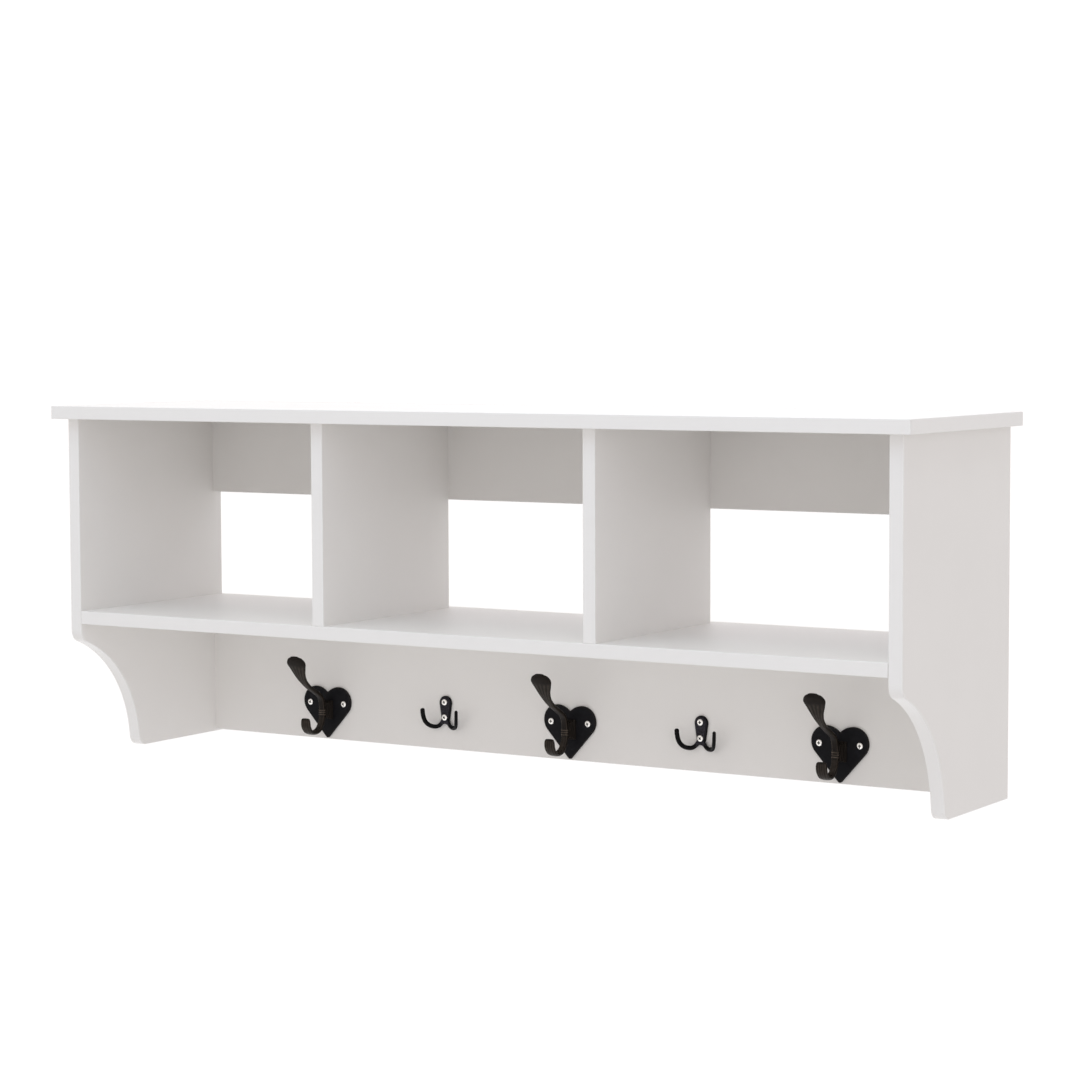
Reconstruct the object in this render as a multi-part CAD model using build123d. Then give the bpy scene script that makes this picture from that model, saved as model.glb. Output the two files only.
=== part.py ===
"""Wall hook rack: three open cubbies above a rail of coat hooks, in millimetres.

+X runs along the wall to the right, +Y goes into the wall and +Z is up. The origin is
midway between the two keyhole hangers, on the wall plane. All boards are melamine-faced
and carry a thin edging strip on the edges that show.
"""

import os
from math import atan2, cos, degrees, hypot, sin, sqrt

from build123d import *

# Overall size
width = 1080.0  # top panel, end to end
depth = 276.0  # top panel, wall to front
height = 406.0  # toe of the side panels to the top face
board = 15.0  # thickness of every board
edging = 1.0  # thickness of the edging strips
arris = 0.8  # rounding along the edged arrises
edging_gap = 0.5  # open joint where a strip stops against another strip or a side

# Case
end_overhang = 13.5  # top panel past each side panel
front_overhang = 14.0  # top panel past the front of the case
hook_zone = 154.0  # toe of the side panels to the shelf's underside
bays = 3
upper_rail_height = 96.0
rail_lift = 2.5  # lower rail's bottom edge above the toe of the sides
nose_radius = 14.5  # rounded corner where a side's front edge ends
nose_drop = 8.0  # shelf underside to the centre of that corner
toe_depth = 160.5  # wall to the front of a side's toe
toe_radius = 12.0

# Wall hangers
hanger_spacing = 812.8  # two bays of studs on 406.4 mm centres
hanger_drop = 45.0  # top panel's underside to the entry holes
hanger_width = 22.0
hanger_rise = 30.0  # plate above the entry hole's centre
hanger_fall = 24.0  # plate below it
hanger_plate = 1.5
entry_radius = 4.75
slot_radius = 2.3
slot_rise = 10.0  # entry hole's centre to the seat of the slot
head_room = 1.5  # pocket past the keyhole all round
pocket_depth = 9.0
hanger_screw_inset = 5.0

# Heart hooks
heart_pitch = 340.0
heart_count = 3
heart_lift = 1.8  # tip of the heart above the rail's bottom edge
heart_height = 61.4
lobe_offset = 16.5  # lobe centre from the middle of the heart
lobe_radius = 17.8
cleft_depth = 7.1
heart_tip_radius = 3.0
heart_plate = 2.5
heart_screw_offset = 24.2
heart_screw_rise = 41.8  # above the heart's tip
boss_rise = 34.1  # centre of the boss above the heart's tip
boss_steps = ((17.0, 22.4, 2.2), (13.6, 20.0, 3.2), (10.0, 17.6, 4.0))  # wide, high, deep
tenon_radius = 3.0

# Centre line of a heart hook's arm, from the upper tip down round to the lower tip: out from
# the plate's back, above the heart's tip, then the section's width and thickness.
arm_sections = (
    (67.2, 102.8, 12.0, 3.2),
    (66.2, 100.6, 20.5, 6.0),
    (63.6, 95.6, 25.8, 7.6),
    (60.1, 88.8, 21.6, 7.4),
    (55.9, 81.0, 14.8, 6.6),
    (49.2, 72.6, 9.4, 5.4),
    (39.6, 64.9, 7.0, 4.9),
    (27.6, 58.0, 6.8, 4.8),
    (16.8, 50.8, 7.0, 4.9),
    (12.9, 41.0, 7.2, 5.0),
    (12.7, 29.8, 7.2, 5.0),
    (14.9, 19.6, 7.8, 5.0),
    (20.6, 12.0, 8.8, 4.8),
    (29.6, 9.2, 10.4, 4.8),
    (39.4, 11.2, 12.4, 4.8),
    (44.9, 17.5, 13.4, 4.8),
    (46.0, 24.4, 13.0, 4.2),
    (45.8, 27.2, 10.6, 2.4),
)

# Double hooks, between the heart hooks
double_top = 63.0  # top of the plate above the rail's bottom edge
double_plate = 3.6
double_head_radius = 8.4
double_foot_radius = 5.6
double_foot_drop = 27.6  # top of the plate to the centre of its foot
double_screw_drops = (7.3, 25.2)
prong_radius = 2.4
# Route of the right-hand prong: sideways from the plate's middle, out from the rail's face
# and above the rail's bottom edge. The left-hand prong mirrors it.
prong_points = (
    (2.6, 2.4, 35.0),
    (6.4, 2.8, 26.5),
    (18.2, 7.6, 26.5),
    (23.2, 14.6, 35.6),
    (23.5, 15.0, 46.4),
)
prong_bends = (4.6, 6.4, 7.6)

# Screws
hook_screw_head = (3.7, 1.8)  # radius, height
hook_screw_shank = (1.8, 14.0)  # radius, length
hanger_screw_head = 3.2
hanger_screw_shank = (1.6, 11.0)
recess = (4.0, 0.9, 1.3)  # cross recess: span, slot width, depth

# Knock-down fittings
cam_radius = 7.5
cam_depth = 12.0
cam_setback = 24.0  # joint plane to the cam's centre
bolt_radius = 3.0
bolt_neck = 1.8
bolt_clearance = 0.4  # round the bolt in its bore and in its cam
bolt_thread = (2.6, 11.0)  # radius, length
cam_slot = (10.0, 1.6, 1.6)  # turning slot: length, width, depth
dowel_radius = 4.0
dowel_up = 10.0  # length in the top panel
dowel_down = 20.0  # length in the upright
case_screw_head = (4.8, 3.6)  # radius at the face, depth of the cone
case_screw_shank = 3.4
case_screw_thread = (2.5, 48.0)  # radius, whole length
front_inset = 55.0  # fittings from the front edge of a board
back_inset = 62.0  # fittings from the wall
rail_cam_offset = 250.0  # rails' upper cams from the middle

# Levels and faces worked out from the sizes above
side_face = width / 2 - end_overhang
inner_face = side_face - board
side_depth = depth - front_overhang
under_top = hanger_drop
bottom = under_top + board - height
under_shelf = bottom + hook_zone
shelf_top = under_shelf + board
upper_rail_bottom = under_top - upper_rail_height
lower_rail_bottom = bottom + rail_lift
bay = (2 * inner_face - (bays - 1) * board) / bays
divider_xs = [-inner_face + bay * (i + 1) + board * (i + 0.5) for i in range(bays - 1)]
heart_tip = lower_rail_bottom + heart_lift
heart_xs = [heart_pitch * (i - (heart_count - 1) / 2) for i in range(heart_count)]
double_xs = [(a + b) / 2 for a, b in zip(heart_xs, heart_xs[1:])]
double_top_z = lower_rail_bottom + double_top
sides = (-1, 1)
side_names = {-1: "left", 1: "right"}
heart_names = ("left", "centre", "right")


def block(xs, ys, zs):
    """A box between the two values given along each axis."""
    spans = [abs(b - a) for a, b in (xs, ys, zs)]
    middle = [(a + b) / 2 for a, b in (xs, ys, zs)]
    return Pos(*middle) * Box(*spans)


def rod(radius, start, end):
    """A round bar along local X from start to end."""
    return Pos((start + end) / 2, 0, 0) * Rot(0, 90, 0) * Cylinder(radius, end - start)


def facing_y(profile, start, end):
    """An XZ profile as a solid between two values of Y."""
    return extrude(Plane.XZ.offset(-start) * profile, start - end)


# ---------------------------------------------------------------- boards


def top_board():
    """The top panel with its edging still on, arrises rounded."""
    whole = block((-width / 2, width / 2), (-depth, 0), (under_top, under_top + board))
    front = whole.edges().filter_by(Axis.X).group_by(Axis.Y)[0]
    corners = whole.edges().filter_by(Axis.Z).group_by(Axis.Y)[0]
    ends = whole.edges().filter_by(Axis.Y)
    return fillet(front + corners + ends, arris)


def split_top():
    """The top panel's board, front strip and end strips."""
    whole = top_board()
    tall = (under_top - board, under_top + 2 * board)
    core_x = width / 2 - edging
    core_y = edging - depth
    nodes = {
        "top_panel": whole & block((-core_x, core_x), (core_y, board), tall),
        "top_front_edging": whole & block((-width, width), (-2 * depth, core_y), tall),
    }
    for side in sides:
        strip = block((side * core_x, side * width), (core_y + edging_gap, board), tall)
        nodes[f"top_{side_names[side]}_edging"] = whole & strip
    return nodes


def side_outline(inset):
    """A side panel's YZ outline: straight front, rounded nose, long concave sweep and toe.

    With an inset, the edges that carry edging move in by that much.
    """
    nose = nose_radius - inset
    nose_y = nose_radius - side_depth
    nose_z = under_shelf - nose_drop
    lead = side_depth - nose_radius - toe_depth
    drop = nose_z - bottom
    sweep = (lead**2 + drop**2 - nose_radius**2) / (2 * (lead + nose_radius))
    sweep_y = -toe_depth - sweep
    turn = degrees(atan2(drop, nose_y - sweep_y))
    foot = bottom + inset
    rim = sweep + inset
    toe_y = sweep_y + sqrt(rim**2 - inset**2)
    low = degrees(atan2(inset, toe_y - sweep_y))
    edge = [
        Line((inset - side_depth, under_top), (inset - side_depth, nose_z)),
        CenterArc((nose_y, nose_z), nose, 180, turn),
        CenterArc((sweep_y, bottom), rim, turn, low - turn),
        Line((toe_y, foot), (0, foot)),
        Line((0, foot), (0, under_top)),
        Line((0, under_top), (inset - side_depth, under_top)),
    ]
    face = make_face(edge)
    toe = face.vertices().sort_by_distance((toe_y, foot, 0))[0]
    return fillet(toe, toe_radius - inset)


def side_solid(side, inset):
    """A side panel outline as a board on its side of the case."""
    start = min(side * inner_face, side * side_face)
    return extrude(Plane.YZ.offset(start) * side_outline(inset), board)


def split_side(side):
    """A side panel's board and the strip that runs down its front, sweep and toe."""
    whole = side_solid(side, 0)
    rounded = [
        edge
        for edge in whole.edges().filter_by(Axis.X, reverse=True)
        if edge.center().Y < -edging and edge.center().Z < under_top - edging
    ]
    whole = fillet(rounded, arris)
    core = whole & side_solid(side, edging)
    name = side_names[side]
    return {f"{name}_side_panel": core, f"{name}_side_edging": whole - core}


def split_front(whole, name):
    """A board whose front edge is edged, as the board and its strip."""
    whole = fillet(whole.edges().group_by(Axis.Y)[0].filter_by(Axis.Y, reverse=True), arris)
    front = whole.bounding_box().min.Y + edging
    strip = block((-width, width), (-depth, front), (-height, height))
    return {name: whole - strip, f"{name.replace('_panel', '')}_edging": whole & strip}


def split_bottom(whole, name):
    """A rail whose bottom edge is edged, as the rail and its strip."""
    whole = fillet(whole.edges().group_by(Axis.Z)[0].filter_by(Axis.X), arris)
    low = whole.bounding_box().min.Z + edging
    strip = block((-width, width), (-depth, depth), (-2 * height, low))
    return {name: whole - strip, f"{name}_edging": whole & strip}


def boards():
    """Every board and edging strip of the case, before it is drilled."""
    nodes = split_top()
    for side in sides:
        nodes.update(split_side(side))
    for x, name in zip(divider_xs, ("left_divider", "right_divider")):
        span = (x - board / 2, x + board / 2)
        nodes.update(split_front(block(span, (-side_depth, -board), (shelf_top, under_top)), name))
    across = (-inner_face, inner_face)
    shelf = block(across, (-side_depth, 0), (under_shelf, shelf_top))
    nodes.update(split_front(shelf, "shelf_panel"))
    seen = (edging_gap - inner_face, inner_face - edging_gap)
    nodes["shelf_edging"] &= block(seen, (-depth, 0), (-height, height))
    upper = block(across, (-board, 0), (upper_rail_bottom, under_top))
    nodes.update(split_bottom(upper, "upper_back_rail"))
    lower = block(across, (-board, 0), (lower_rail_bottom, under_shelf))
    nodes.update(split_bottom(lower, "lower_hook_rail"))
    return nodes


# ---------------------------------------------------------------- fittings inside the case


def cam_lock():
    """A cam housing, its bolt and the hole each needs, about the joint plane.

    Local X points into the board that takes the bolt and local Z to the face the cam opens on.
    """
    face = board / 2
    pocket = Pos(-cam_setback, 0, face - cam_depth / 2) * Cylinder(cam_radius, cam_depth)
    bore = rod(bolt_radius + bolt_clearance, -cam_setback - bolt_radius - bolt_clearance, 0)
    slot = Pos(-cam_setback, 0, face - cam_slot[2] / 2) * Box(*cam_slot)
    head = rod(bolt_radius, -cam_setback - bolt_radius, -cam_setback)
    neck = rod(bolt_neck, -cam_setback, -cam_setback + bolt_radius)
    shank = rod(bolt_radius, -cam_setback + bolt_radius, 0)
    thread = rod(bolt_thread[0], 0, bolt_thread[1])
    return {
        "housing": pocket - bore - slot,
        "bolt": head + neck + shank + thread,
        "host_hole": pocket + bore,
        "mate_hole": thread,
    }


def case_screw():
    """A countersunk case screw pointing along local Z, with its head's face at the origin."""
    radius, drop = case_screw_head
    head = Pos(0, 0, drop / 2) * Cone(radius, case_screw_shank, drop)
    thread, length = case_screw_thread
    shank = Pos(0, 0, board / 2) * Cylinder(case_screw_shank, board)
    tail = Pos(0, 0, (board + length) / 2) * Cylinder(thread, length - board)
    hexagon = Pos(0, 0, 1.25) * extrude(RegularPolygon(2.3, 6), 1.25, both=True)
    return head + shank + tail, hexagon


def cam_places():
    """Each cam joint as (board with the cam, board with the bolt, plane of the joint)."""
    places = []
    for side in sides:
        into = (side, 0, 0)
        panel = f"{side_names[side]}_side_panel"
        end = side * inner_face
        for y in (front_inset - side_depth, -back_inset):
            spot = (end, y, under_shelf + board / 2)
            places.append(("shelf_panel", panel, Plane(spot, x_dir=into, z_dir=(0, 0, -1))))
        for rail, low, high in (
            ("upper_back_rail", upper_rail_bottom, under_top),
            ("lower_hook_rail", lower_rail_bottom, under_shelf),
        ):
            spot = (end, -board / 2, (low + high) / 2)
            places.append((rail, panel, Plane(spot, x_dir=into, z_dir=(0, 1, 0))))
        for rail, mate, level in (
            ("upper_back_rail", "top_panel", under_top),
            ("lower_hook_rail", "shelf_panel", under_shelf),
        ):
            spot = (side * rail_cam_offset, -board / 2, level)
            places.append((rail, mate, Plane(spot, x_dir=(0, 0, 1), z_dir=(0, 1, 0))))
    return places


def fit_cams(nodes):
    """Drill the boards for the cam joints and return the cams and their bolts."""
    lock = cam_lock()
    housings = []
    bolts = []
    for host, mate, plane in cam_places():
        nodes[host] -= plane.location * lock["host_hole"]
        nodes[mate] -= plane.location * lock["mate_hole"]
        housings.append(plane.location * lock["housing"])
        bolts.append(plane.location * lock["bolt"])
    return {"cam_locks": housings, "cam_bolts": bolts}


def fit_dowels(nodes):
    """Dowels between the uprights and the top panel."""
    pins = []
    uprights = {"left_side_panel": -side_face + board / 2, "right_side_panel": side_face - board / 2}
    uprights.update(zip(("left_divider", "right_divider"), divider_xs))
    middle = under_top + (dowel_up - dowel_down) / 2
    for name, x in uprights.items():
        for y in (front_inset - side_depth, -back_inset):
            pin = Pos(x, y, middle) * Cylinder(dowel_radius, dowel_up + dowel_down)
            nodes[name] -= pin
            nodes["top_panel"] -= pin
            pins.append(pin)
    return {"wood_dowels": pins}


def fit_case_screws(nodes):
    """Screws up through the shelf and forwards through the upper rail into the dividers."""
    body, key = case_screw()
    screws = []
    rail_middle = (upper_rail_bottom + under_top) / 2
    for name, x in zip(("left_divider", "right_divider"), divider_xs):
        places = []
        for y in (front_inset - side_depth, -back_inset):
            places.append(("shelf_panel", (x, y, under_shelf), (0, 0, 1)))
        for z in (rail_middle - upper_rail_height / 4, rail_middle + upper_rail_height / 4):
            places.append(("upper_back_rail", (x, 0, z), (0, -1, 0)))
        for board_name, spot, along in places:
            place = Plane(spot, z_dir=along).location
            nodes[board_name] -= place * body
            nodes[name] -= place * body
            screws.append(place * (body - key))
    return {"case_screws": screws}


# ---------------------------------------------------------------- wall hangers


def keyhole(grow):
    """Keyhole profile about its entry hole, larger all round by grow."""
    reach = slot_radius + grow
    neck = Pos(0, slot_rise / 2) * Rectangle(2 * reach, slot_rise)
    return Circle(entry_radius + grow) + neck + Pos(0, slot_rise) * Circle(reach)


def hanger_screw():
    """A countersunk screw pointing along local Z, with its head's face at the origin."""
    radius, length = hanger_screw_shank
    drop = hanger_plate
    head = Pos(0, 0, drop / 2) * Cone(hanger_screw_head, radius, drop)
    shank = Pos(0, 0, (drop + length) / 2) * Cylinder(radius, length - drop)
    return head + shank


def cross_recess(top):
    """The cross recess of a screw whose crown is at local Z = top."""
    span, slot, sink = recess
    middle = top - sink / 2
    return Pos(0, 0, middle) * (Box(span, slot, sink) + Box(slot, span, sink))


def fit_hangers(nodes):
    """Two keyhole plates let into the back of the upper rail, with their screws."""
    plate_height = hanger_rise + hanger_fall
    outline = Pos(0, (hanger_rise - hanger_fall) / 2) * RectangleRounded(hanger_width, plate_height, 3)
    body = hanger_screw()
    screws = []
    for side in sides:
        x = side * hanger_spacing / 2
        here = Pos(x, 0, 0)
        blank = here * facing_y(outline, -hanger_plate, 0)
        plate = blank - here * facing_y(keyhole(0), -board, board)
        nodes["upper_back_rail"] -= blank
        nodes["upper_back_rail"] -= here * facing_y(keyhole(head_room), -pocket_depth, 0)
        for z in (hanger_rise - hanger_screw_inset, hanger_screw_inset - hanger_fall):
            place = Plane((x, 0, z), z_dir=(0, -1, 0)).location
            plate -= place * body
            nodes["upper_back_rail"] -= place * body
            screws.append(place * (body - Rot(180, 0, 0) * cross_recess(0)))
        nodes[f"{side_names[side]}_hanger_plate"] = plate
    nodes["hanger_screws"] = screws


# ---------------------------------------------------------------- hooks


def hook_screw():
    """A pan-head screw along local Z, with its head's underside at the origin."""
    radius, high = hook_screw_head
    shank, length = hook_screw_shank
    head = Pos(0, 0, high / 2) * Cylinder(radius, high)
    head = fillet(head.edges().group_by(Axis.Z)[-1], 0.7 * high)
    point = 2 * shank
    straight = length - point
    stem = Pos(0, 0, -straight / 2) * Cylinder(shank, straight)
    tip = Pos(0, 0, -straight - point / 2) * Cone(0.3, shank, point)
    return head + stem + tip, cross_recess(high)


def heart_outline():
    """Heart profile about the foot of its middle line, tip at zero height."""
    lobe_z = heart_height - lobe_radius
    run = hypot(lobe_offset, lobe_z - heart_tip_radius)
    lean = atan2(lobe_z - heart_tip_radius, lobe_offset)
    grow = heart_tip_radius - lobe_radius
    turn = lean - atan2(sqrt(run**2 - grow**2), grow)
    reach = (cos(turn), sin(turn))
    high = (lobe_offset + lobe_radius * reach[0], lobe_z + lobe_radius * reach[1])
    low = (heart_tip_radius * reach[0], heart_tip_radius * (1 + reach[1]))
    inner = (lobe_offset**2 + cleft_depth**2) / (2 * cleft_depth)
    swing = degrees(atan2(lobe_offset, inner - cleft_depth))
    half = make_face(
        [
            Line((0, 0), (0, heart_height - cleft_depth)),
            CenterArc((lobe_offset, heart_height - inner), inner, 90 + swing, -swing),
            CenterArc((lobe_offset, lobe_z), lobe_radius, 90, degrees(turn) - 90),
            Line(high, low),
            CenterArc((0, heart_tip_radius), heart_tip_radius, degrees(turn), -90 - degrees(turn)),
        ]
    )
    return half + mirror(half, Plane.YZ)


def arm_body():
    """The swept arm of a heart hook, upper tip to lower tip, at the middle of the rack."""
    spots = [(-board - out, heart_tip + up) for out, up, _, _ in arm_sections]
    profiles = []
    for i, (_, _, wide, thick) in enumerate(arm_sections):
        before = spots[max(i - 1, 0)]
        after = spots[min(i + 1, len(spots) - 1)]
        along = (0, after[0] - before[0], after[1] - before[1])
        place = Plane((0, *spots[i]), x_dir=(1, 0, 0), z_dir=along)
        profiles.append(place * Ellipse(wide / 2, thick / 2))
    return loft(profiles)


def heart_arm():
    """The arm with the stepped boss that stands on the plate and the tenon through it."""
    arm = arm_body()
    front = -board - heart_plate
    middle = heart_tip + boss_rise
    for wide, high, deep in boss_steps:
        zs = (middle - high / 2, middle + high / 2)
        arm += block((-wide / 2, wide / 2), (front - deep, front), zs)
        front -= deep
    tenon = Circle(tenon_radius)
    return arm + Pos(0, 0, middle) * facing_y(tenon, -board - heart_plate, -board)


def fit_heart_hooks(nodes):
    """Heart plates, their arms and the screws that hold them to the lower rail."""
    arm = heart_arm()
    blank = Pos(0, 0, heart_tip) * facing_y(heart_outline(), -board - heart_plate, -board)
    body, cross = hook_screw()
    screws = []
    for x, name in zip(heart_xs, heart_names):
        nodes[f"{name}_heart_arm"] = Pos(x, 0, 0) * arm
        plate = Pos(x, 0, 0) * (blank - arm)
        for side in sides:
            spot = (x + side * heart_screw_offset, -board - heart_plate, heart_tip + heart_screw_rise)
            place = Plane(spot, z_dir=(0, -1, 0)).location
            plate -= place * body
            nodes["lower_hook_rail"] -= place * body
            screws.append(place * (body - cross))
        nodes[f"{name}_heart_plate"] = plate
    nodes["heart_hook_screws"] = screws


def double_outline():
    """Plate of a double hook: a round head that narrows to a smaller foot."""
    gap = double_foot_drop - double_head_radius
    lean = (double_head_radius - double_foot_radius) / gap
    flat = sqrt(1 - lean**2)
    high = (double_head_radius * flat, -double_head_radius * (1 + lean))
    low = (double_foot_radius * flat, -double_foot_drop - double_foot_radius * lean)
    web = make_face(Polyline(high, low, (-low[0], low[1]), (-high[0], high[1]), close=True))
    head = Pos(0, -double_head_radius) * Circle(double_head_radius)
    foot = Pos(0, -double_foot_drop) * Circle(double_foot_radius)
    return web + head + foot


def prong(side):
    """One prong of a double hook, with a round end."""
    points = [(side * across, -board - out, lower_rail_bottom + up) for across, out, up in prong_points]
    path = FilletPolyline(*points, radius=prong_bends)
    start = Plane(path @ 0, z_dir=path % 0)
    return sweep(start * Circle(prong_radius), path=path) + Pos(*points[-1]) * Sphere(prong_radius)


def fit_double_hooks(nodes):
    """The two-pronged hooks between the hearts, and their screws."""
    blank = Pos(0, 0, double_top_z) * facing_y(double_outline(), -board - double_plate, -board)
    rim = blank.edges().group_by(Axis.Y)[0]
    hook = fillet(rim, 1.2) + prong(-1) + prong(1)
    hook &= block((-width, width), (-depth, -board), (-height, height))
    body, cross = hook_screw()
    screws = []
    for x, name in zip(double_xs, ("left", "right")):
        here = Pos(x, 0, 0) * hook
        for drop in double_screw_drops:
            spot = (x, -board - double_plate, double_top_z - drop)
            place = Plane(spot, z_dir=(0, -1, 0)).location
            here -= place * body
            nodes["lower_hook_rail"] -= place * body
            screws.append(place * (body - cross))
        nodes[f"{name}_double_hook"] = here
    nodes["double_hook_screws"] = screws


def build():
    """Every node of the rack, by name."""
    nodes = boards()
    inside = {}
    for fitting in (fit_cams, fit_dowels, fit_case_screws):
        inside.update(fitting(nodes))
    fit_hangers(nodes)
    fit_heart_hooks(nodes)
    fit_double_hooks(nodes)
    nodes.update(inside)
    return nodes


def write(nodes):
    """One STEP file per node."""
    os.makedirs("parts", exist_ok=True)
    for name, shape in nodes.items():
        if isinstance(shape, list):
            solids = [solid for item in shape for solid in item.solids()]
        else:
            solids = list(shape.solids())
        whole = solids[0] if len(solids) == 1 else Compound(children=solids)
        whole.label = name
        export_step(whole, f"parts/{name}.step")


write(build())
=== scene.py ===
"""Looks for the wall hook rack: white laminated boards above five black coat hooks.

Metres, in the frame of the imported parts: +X along the wall, +Y into it, +Z up, with the
origin between the two keyhole hangers. Boards, strips and fittings keep their own solids
and get finishes. Plates, arms, double hooks and screws are made here.
"""

from math import atan2, cos, exp, hypot, pi, radians, sin, sqrt

import bmesh
import bpy
from bpy.props import FloatProperty, FloatVectorProperty, IntProperty, PointerProperty
from mathutils import Matrix, Vector


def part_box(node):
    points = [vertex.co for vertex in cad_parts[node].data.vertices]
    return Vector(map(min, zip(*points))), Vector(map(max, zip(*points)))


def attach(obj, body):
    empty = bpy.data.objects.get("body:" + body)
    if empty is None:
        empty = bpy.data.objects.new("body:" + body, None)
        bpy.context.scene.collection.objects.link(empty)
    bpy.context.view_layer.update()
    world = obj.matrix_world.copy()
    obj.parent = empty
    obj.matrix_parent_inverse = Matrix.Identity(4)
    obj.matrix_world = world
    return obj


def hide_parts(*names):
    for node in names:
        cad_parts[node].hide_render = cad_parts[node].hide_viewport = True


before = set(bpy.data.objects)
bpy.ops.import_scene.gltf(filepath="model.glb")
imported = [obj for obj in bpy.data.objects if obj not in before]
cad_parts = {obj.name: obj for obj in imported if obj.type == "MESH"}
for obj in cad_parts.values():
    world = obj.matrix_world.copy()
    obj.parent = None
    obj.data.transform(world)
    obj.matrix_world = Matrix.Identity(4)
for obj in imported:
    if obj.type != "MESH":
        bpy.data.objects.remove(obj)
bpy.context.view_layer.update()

bl_info = {
    "name": "Wall Hook Rack",
    "version": (1, 0, 0),
    "blender": (4, 5, 0),
    "location": "View3D > Sidebar > Hook Rack",
    "description": "Finishes, hooks, screws and studio for a wall hook rack",
    "category": "Object",
}

MM = 0.001

# Nodes by finish
BOARDS = (
    "top_panel",
    "left_side_panel",
    "right_side_panel",
    "left_divider",
    "right_divider",
    "shelf_panel",
    "upper_back_rail",
    "lower_hook_rail",
)
STRIPS = (
    "top_front_edging",
    "top_left_edging",
    "top_right_edging",
    "left_side_edging",
    "right_side_edging",
    "left_divider_edging",
    "right_divider_edging",
    "shelf_edging",
    "upper_back_rail_edging",
    "lower_hook_rail_edging",
)
PLATED = ("left_hanger_plate", "right_hanger_plate", "hanger_screws", "case_screws", "cam_bolts")
HEARTS = ("left", "centre", "right")
DOUBLES = ("left", "right")
SIDES = (-1, 1)

# Heart plate, in millimetres, about the foot of its middle line
HEART_HEIGHT = 61.4
LOBE_OFFSET = 16.5
LOBE_RADIUS = 17.8
CLEFT_DEPTH = 7.1
TIP_RADIUS = 3.0
SCREW_SPREAD = 24.2
SCREW_RISE = 41.8

# Arm of a heart hook, upper tip to lower tip: out from the rail's face, up from the foot of
# the heart, then the section's width and thickness, in millimetres
ARM_STATIONS = (
    (67.2, 102.8, 12.0, 3.2),
    (66.2, 100.6, 20.5, 6.0),
    (63.6, 95.6, 25.8, 7.6),
    (60.1, 88.8, 21.6, 7.4),
    (55.9, 81.0, 14.8, 6.6),
    (49.2, 72.6, 9.4, 5.4),
    (39.6, 64.9, 7.0, 4.9),
    (27.6, 58.0, 6.8, 4.8),
    (16.8, 50.8, 7.0, 4.9),
    (12.9, 41.0, 7.2, 5.0),
    (12.7, 29.8, 7.2, 5.0),
    (14.9, 19.6, 7.8, 5.0),
    (20.6, 12.0, 8.8, 4.8),
    (29.6, 9.2, 10.4, 4.8),
    (39.4, 11.2, 12.4, 4.8),
    (44.9, 17.5, 13.4, 4.8),
    (46.0, 24.4, 13.0, 4.2),
    (45.8, 27.2, 10.6, 2.4),
)
# Depth of the flutes and squareness of the section along the arm, by station number
FLUTE_DEPTHS = (
    (0, 0),
    (2.0, 0),
    (3.0, 0.42),
    (4.6, 0.4),
    (5.6, 0.22),
    (7, 0),
    (10.15, 0),
    (10.5, 0.28),
    (13, 0.3),
    (16, 0.36),
    (16.8, 0),
)
SQUARENESS = ((0, 2.4), (3, 2.5), (5, 3.2), (7, 4.2), (11, 4.2), (13, 3.0), (15, 3.4), (17, 3.8))
# How far a painted highlight lightens the front corners along the arm, by station number
EDGE_HIGHLIGHT = ((0, 0), (4, 0), (5.5, 1), (10.2, 1), (12, 0.2), (17, 0))
# Rounded ends of the arm: power of their outline, and length as a share of the thickness
END_POWER = 2.2
END_LENGTH = 0.42
# The beads: station number of the middle one, then places along the stem and half width
BEAD_STATION = 9.84
BEAD_OFFSETS = (-2.6, 0.0, 2.6)
BEAD_SPREAD = 0.62
# How much of the rub colour shows on the flutes' ridges, the beads, the right-hand corner's
# painted highlight as a share of the left-hand one's, and everywhere
RIDGE_RUB = 0.16
BEAD_RUB = 0.6
RIGHT_HIGHLIGHT = 0.2
LEAST_RUB = 0.03
# The boss behind the stem: centre above the foot of the heart, then each step's width,
# height and depth
BOSS_RISE = 34.1
BOSS_STEPS = ((17.0, 22.4, 2.2), (13.6, 20.0, 3.2), (10.0, 17.6, 4.0))
BOSS_BEVEL = 0.45  # round the top of each step
BOSS_FILLET = 0.35  # flare at the foot of each step
BOSS_CORNER = 0.9  # radius of the upright corners
BOSS_SUNK = 0.6  # lowest step's foot inside the plate

# Double hook, in millimetres from the top of its plate
DOUBLE_PLATE = 3.6
HEAD_RADIUS = 8.4
FOOT_RADIUS = 5.6
FOOT_DROP = 26.6
SCREW_DROPS = (7.3, 25.2)
# Right-hand prong: sideways, out from the rail's face and down from the plate's top
PRONG_ROUTE = (
    (2.6, 2.4, 28.0),
    (6.4, 2.8, 36.5),
    (18.2, 7.6, 36.5),
    (23.2, 14.6, 27.4),
    (23.5, 15.0, 16.6),
)
# Arched web between the roots of the prongs
WEB_ROUTE = ((-4.4, 2.6, 31.6), (0.0, 2.8, 29.0), (4.4, 2.6, 31.6))
# Oval section of a prong at its root and its tip, as shares of the prong's radius
PRONG_ACROSS = (0.90, 0.84)
PRONG_TALL = (1.0, 1.16)

# Screws, in millimetres: hole in the castings, shank, start and end of the point, and the
# cross's span, slot and depth
HOLE_RADIUS = 1.9
SHANK_RADIUS = 1.8
POINT_START = -10.4
POINT_END = -14.0
CROSS = (4.4, 1.3, 1.2)
# Points of the cross lie this near the screw's middle
RECESS_REACH = 2.3

CAMERA_SPOT = Vector((1.71461, -2.82668, 0.15215))
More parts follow.
